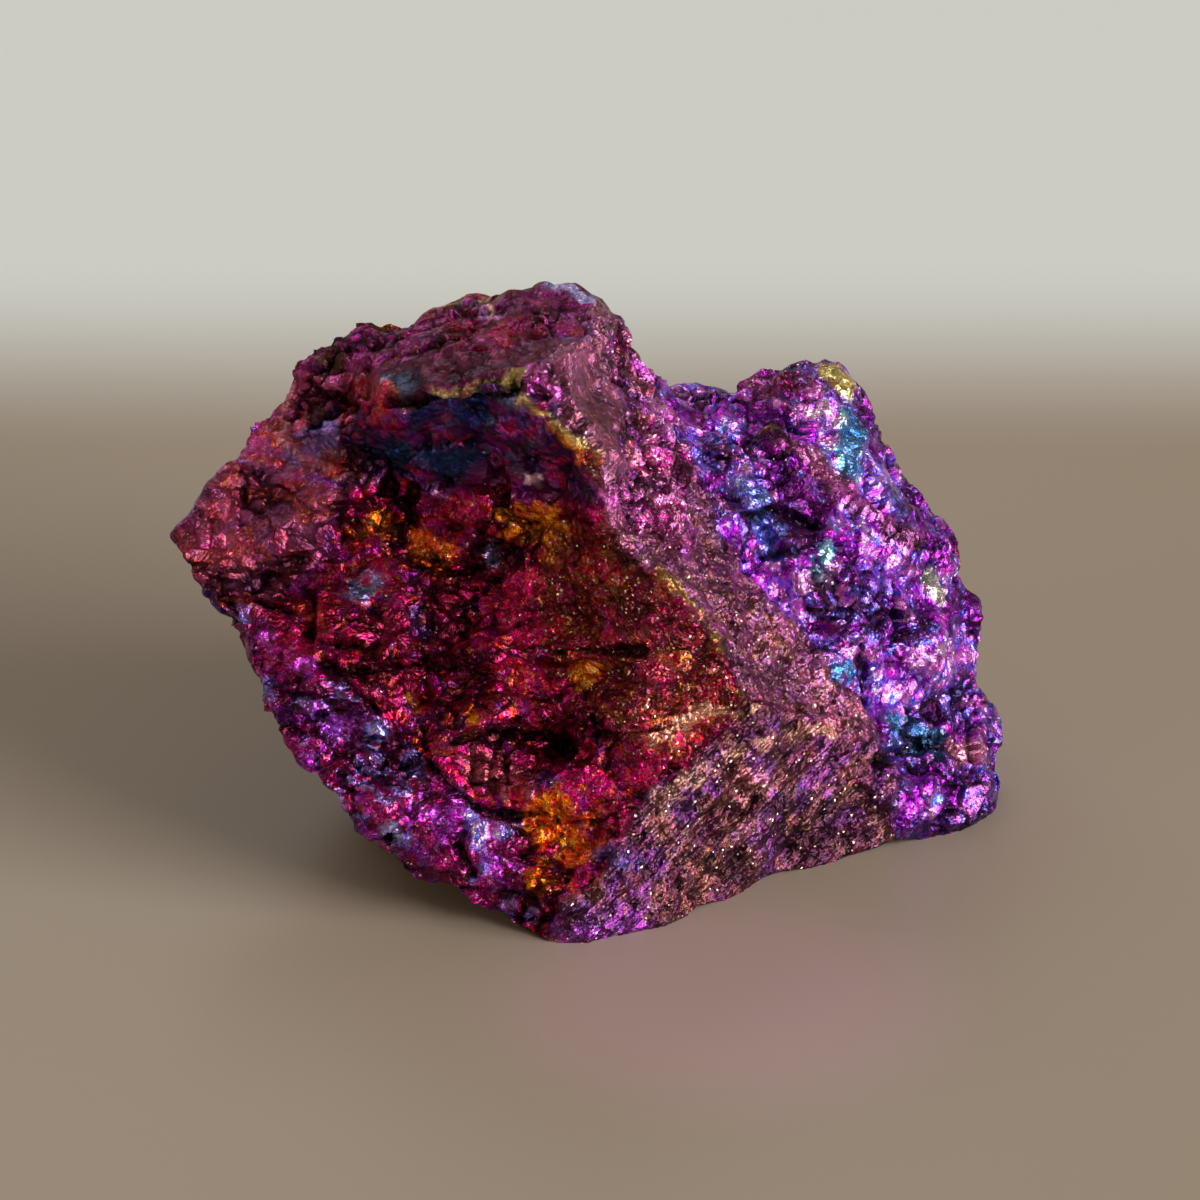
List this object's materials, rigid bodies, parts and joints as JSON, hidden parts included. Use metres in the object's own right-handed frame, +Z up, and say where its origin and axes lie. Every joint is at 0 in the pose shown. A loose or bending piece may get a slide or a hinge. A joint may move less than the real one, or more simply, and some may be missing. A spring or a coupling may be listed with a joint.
{
  "type": "peacock ore",
  "caption": "Rough broken chunk of tarnished copper ore with ledges, hollows and nodules, purple, magenta, blue and gold, resting on a flat underside.",
  "frame": {"origin": "middle of the stone's box, on the surface that it rests on", "axes": "+X along the length, to the right as seen from the front; +Y to the back; +Z up"},
  "size_m": [0.108, 0.0778, 0.0682],
  "materials": {
    "tarnished_ore": "metallic, broken, iridescent tarnish from crimson and gold to violet and blue"
  },
  "bodies": {
    "root": {"ore": "tarnished_ore"}
  },
  "joints": []
}
